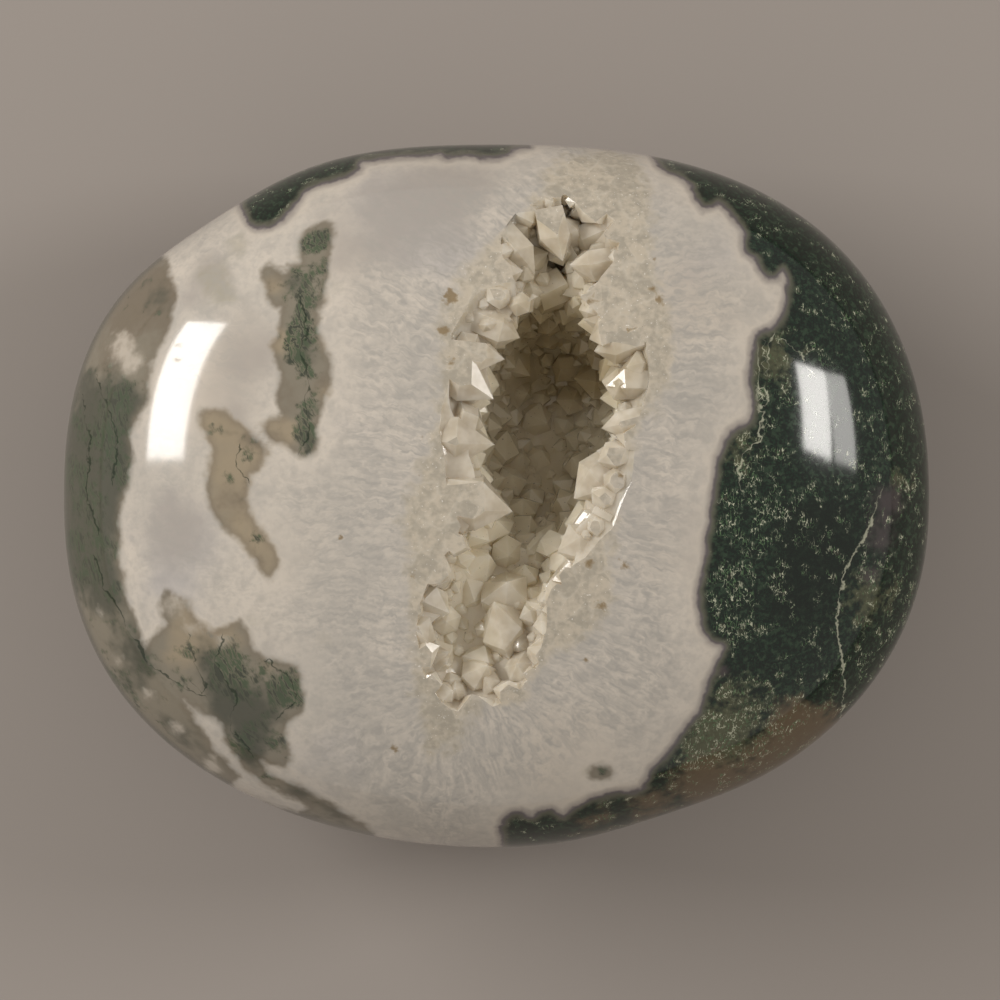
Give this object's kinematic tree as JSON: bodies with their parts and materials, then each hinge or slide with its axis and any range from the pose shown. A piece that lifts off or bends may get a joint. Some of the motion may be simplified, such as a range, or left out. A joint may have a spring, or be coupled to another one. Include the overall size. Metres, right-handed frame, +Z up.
{
  "type": "moss agate palm stone",
  "caption": "Polished oval moss agate palm stone whose face opens into a deep vug lined with quartz crystals.",
  "frame": {"origin": "middle of the flat spot that the stone rests on, under the middle of its outline", "axes": "+X along the stone's length, +Y across it, +Z up out of the face with the vug"},
  "size_m": [0.072, 0.0584, 0.032],
  "materials": {
    "polished_agate": "high polish, white to grey chalcedony with dark green moss flanks",
    "milky_quartz": "natural crystal faces, milky and translucent, ground flush at the polished face"
  },
  "bodies": {
    "root": {"moss_agate": "polished_agate", "crystal_crust": "milky_quartz"}
  },
  "joints": []
}
